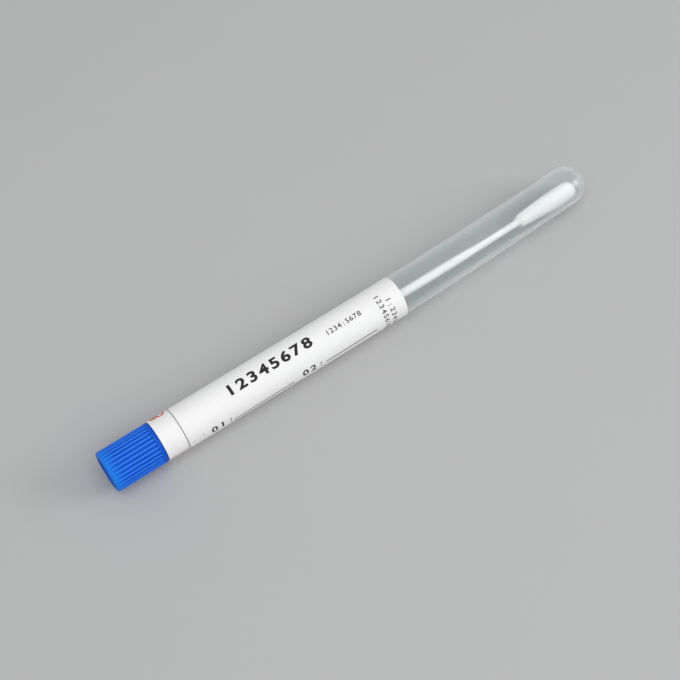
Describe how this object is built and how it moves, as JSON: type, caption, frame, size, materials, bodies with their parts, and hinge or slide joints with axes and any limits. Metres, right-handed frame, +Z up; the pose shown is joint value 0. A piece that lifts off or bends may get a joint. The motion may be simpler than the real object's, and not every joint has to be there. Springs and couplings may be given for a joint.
{
  "type": "specimen swab tube",
  "caption": "Round-bottomed clouded plastic sampling tube with a paper label and seal band, closed by a ribbed blue plug cap that carries a fibre-tipped swab.",
  "frame": {"origin": "middle of the footprint, on the surface that the tube lies on", "axes": "+X along the tube from the cap to the round bottom, +Z up; the tube's free end curves towards +Y"},
  "size_m": [0.166, 0.0142, 0.0125],
  "materials": {
    "clouded_plastic": "satin",
    "blue_plastic": "satin",
    "white_plastic": "satin",
    "wound_fibre": "matte",
    "label_paper": "matte",
    "band_paper": "matte"
  },
  "bodies": {
    "tube": {"tube": "clouded_plastic", "label": "label_paper", "seal_band": "band_paper"},
    "cap": {"cap": "blue_plastic", "swab_shaft": "white_plastic", "swab_bud": "wound_fibre"}
  },
  "joints": [
    {"name": "cap_pull", "type": "slide", "parent": "tube", "child": "cap", "axis": [-1, 0, 0], "range_m": [0, 0.15]}
  ]
}
